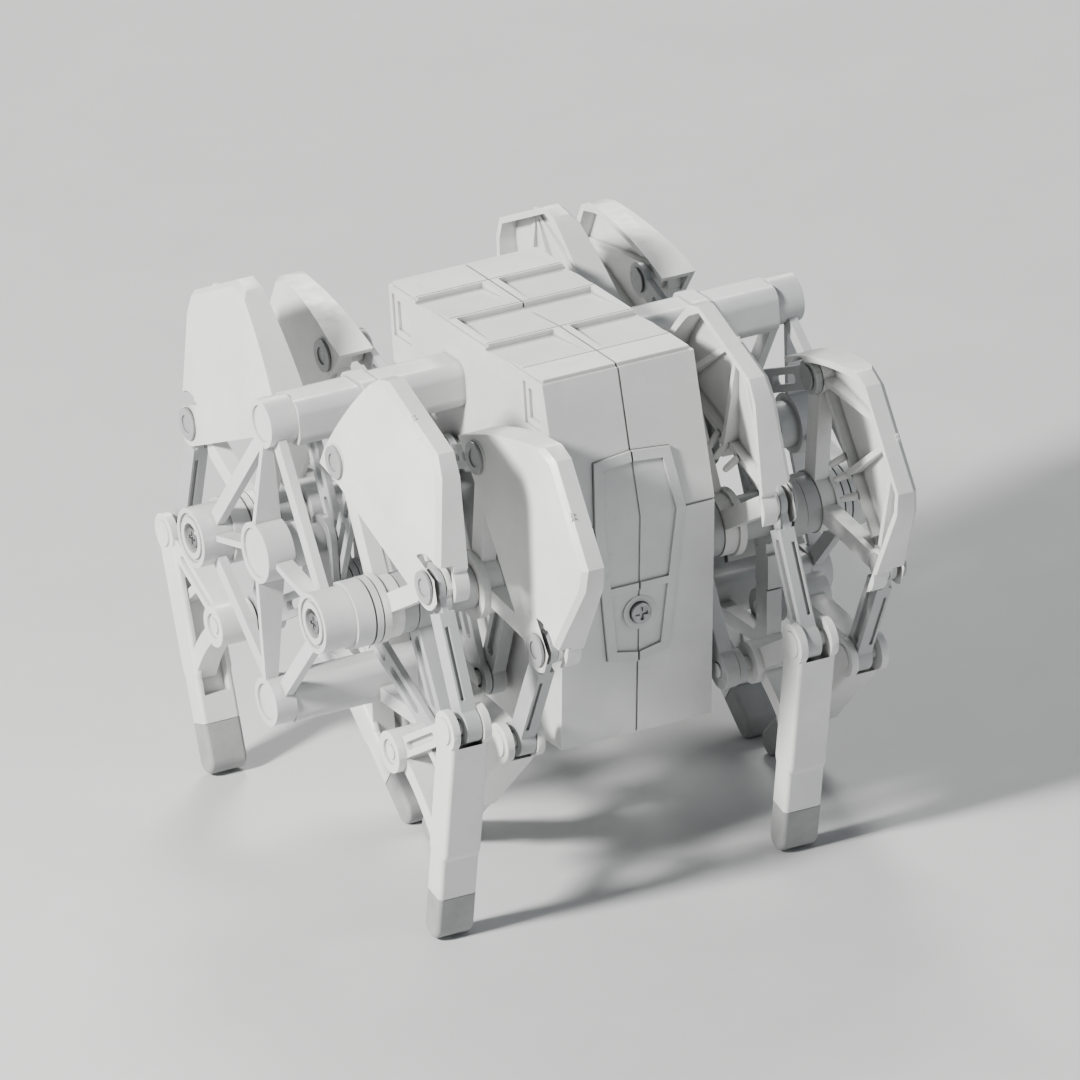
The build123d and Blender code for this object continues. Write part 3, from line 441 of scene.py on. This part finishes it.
def dress_cad():
    """Gives every CAD node its materials and its rounded edges."""
    slots = {part["node"]: part["material_slot"] for part in frame["record"]["subparts"]}
    for name, item in frame["nodes"].items():
        if name.startswith("thigh"):
            paint_solids(name, thigh_chooser, ["panel_plastic", "pin_plastic"])
        elif name.startswith("shin"):
            paint_solids(name, shin_chooser, ["panel_plastic", "foot_rubber"])
        elif name.startswith("side_frame"):
            paint_solids(name, frame_chooser,
                         ["frame_plastic", "pin_plastic", "link_plastic"])
        else:
            item.data.materials.clear()
            item.data.materials.append(materials[slots[name]])
        width = next((size for key, size in EDGE_ROUND.items() if name.startswith(key)),
                     SMALL_EDGE)
        soften(item, width)


dress_cad()


# --- pegs along the inner edge of each thigh panel --------------------------------------------
def thigh_top(pivot, knee):
    """The thigh's top pin: the upper crossing of two circles round the pivot and the knee."""
    gap = (knee - pivot).length
    along = (THIGH_RISE**2 - THIGH_SPAN**2 + gap**2) / (2 * gap)
    aside = math.sqrt(THIGH_RISE**2 - along**2)
    run = (knee - pivot) / gap
    square = Vector((0.0, -run.z, run.y))
    if square.z < 0:
        square = -square
    return pivot + along * run + aside * square


def tapered_peg(mesh, start, end):
    """A round peg from start to end, thinner towards its rounded tip."""
    run = end - start
    side = run.orthogonal().normalized()
    other = run.normalized().cross(side)
    rings = []
    for share, radius in PEG_RINGS:
        spots = [start + share * run + radius * (math.cos(turn) * side + math.sin(turn) * other)
                 for turn in (2 * math.pi * step / PEG_SIDES for step in range(PEG_SIDES))]
        rings.append([mesh.verts.new(spot) for spot in spots])
    for lower, upper in zip(rings, rings[1:]):
        for step in range(PEG_SIDES):
            after = (step + 1) % PEG_SIDES
            mesh.faces.new((lower[step], lower[after], upper[after], upper[step]))
    mesh.faces.new(list(reversed(rings[0])))
    mesh.faces.new(rings[-1])


def make_pegs():
    """Three pegs on each thigh panel, one piece for each leg."""
    joints = frame["record"]["behaviour"]["joints"]
    places = {joint["name"]: Vector(joint["pos_m"]) for joint in joints if "pos_m" in joint}
    for node in frame["nodes"]:
        if not node.startswith("thigh_"):
            continue
        leg = node[len("thigh_"):]
        pivot, knee = places["thigh_pivot_" + leg], places["knee_" + leg]
        top = thigh_top(pivot, knee)
        inboard = -1.0 if pivot.x > 0 else 1.0
        outer_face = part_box(node)[1].x if pivot.x > 0 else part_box(node)[0].x
        mesh = bmesh.new()
        for share in PEG_SHARES:
            base = top.lerp(knee, share)
            base.x = outer_face + inboard * PEG_BASE_DEPTH
            tip = base + PEG_LENGTH * (pivot - base).normalized()
            tip.x = base.x + inboard * PEG_LEAN
            tapered_peg(mesh, base, tip)
        bmesh.ops.recalc_face_normals(mesh, faces=mesh.faces)
        data = bpy.data.meshes.new("panel_pegs_" + leg)
        mesh.to_mesh(data)
        mesh.free()
        for polygon in data.polygons:
            polygon.use_smooth = len(polygon.vertices) == 4
        pegs = bpy.data.objects.new("panel_pegs_" + leg, data)
        bpy.context.scene.collection.objects.link(pegs)
        data.materials.append(materials["panel_plastic"])
        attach(pegs, node)


make_pegs()


# --- stage, light and camera ------------------------------------------------------------------
def make_floor():
    bpy.ops.mesh.primitive_plane_add(size=FLOOR_SIZE, location=(0, 0, cad_box[0].z))
    floor = bpy.context.object
    floor.name = "floor"
    floor.data.materials.append(paper_floor("floor_paper"))


def area_light(name, place, size, power, colour):
    """A round soft light that faces the middle of the object."""
    data = bpy.data.lights.new(name, "AREA")
    data.shape = "DISK"
    data.size = size
    data.energy = power
    data.color = colour
    light = bpy.data.objects.new(name, data)
    bpy.context.scene.collection.objects.link(light)
    light.location = place
    centre = (cad_box[0] + cad_box[1]) / 2
    light.rotation_mode = "QUATERNION"
    light.rotation_quaternion = (Vector(place) - centre).to_track_quat("Z", "Y")


def make_lights():
    for light in LIGHTS:
        area_light(*light)
    world = bpy.data.worlds.new("studio")
    world.use_nodes = True
    background = world.node_tree.nodes["Background"]
    background.inputs["Color"].default_value = WORLD_COLOUR
    background.inputs["Strength"].default_value = WORLD_STRENGTH
    bpy.context.scene.world = world


def make_camera():
    """Long lens at the drawing's viewing angle, with its slight roll."""
    back = Vector((math.sin(VIEW_AZIMUTH) * math.cos(VIEW_ELEVATION),
                   -math.cos(VIEW_AZIMUTH) * math.cos(VIEW_ELEVATION), math.sin(VIEW_ELEVATION)))
    turn = (-back).to_track_quat("-Z", "Y").to_matrix() @ Matrix.Rotation(VIEW_ROLL, 3, "Z")
    corners = [Vector((x, y, z)) for x in (cad_box[0].x, cad_box[1].x)
               for y in (cad_box[0].y, cad_box[1].y) for z in (cad_box[0].z, cad_box[1].z)]
    seen = [turn.transposed() @ corner for corner in corners]
    low = [min(point[axis] for point in seen) for axis in (0, 1)]
    high = [max(point[axis] for point in seen) for axis in (0, 1)]
    width = max(high[0] - low[0], high[1] - low[1]) / OBJECT_SHARE
    data = bpy.data.cameras.new("camera")
    data.lens = LENS
    data.sensor_width = SENSOR
    camera = bpy.data.objects.new("camera", data)
    bpy.context.scene.collection.objects.link(camera)
    centre = turn @ Vector(((low[0] + high[0]) / 2, (low[1] + high[1]) / 2, 0.0))
    place = centre + back * width * LENS / SENSOR
    camera.matrix_world = Matrix.Translation(place) @ turn.to_4x4()
    data.clip_end = FAR_CLIP
    bpy.context.scene.camera = camera


make_floor()
make_lights()
make_camera()
bpy.context.scene.view_settings.view_transform = "AgX"
bpy.context.scene.view_settings.look = "AgX - Medium High Contrast"
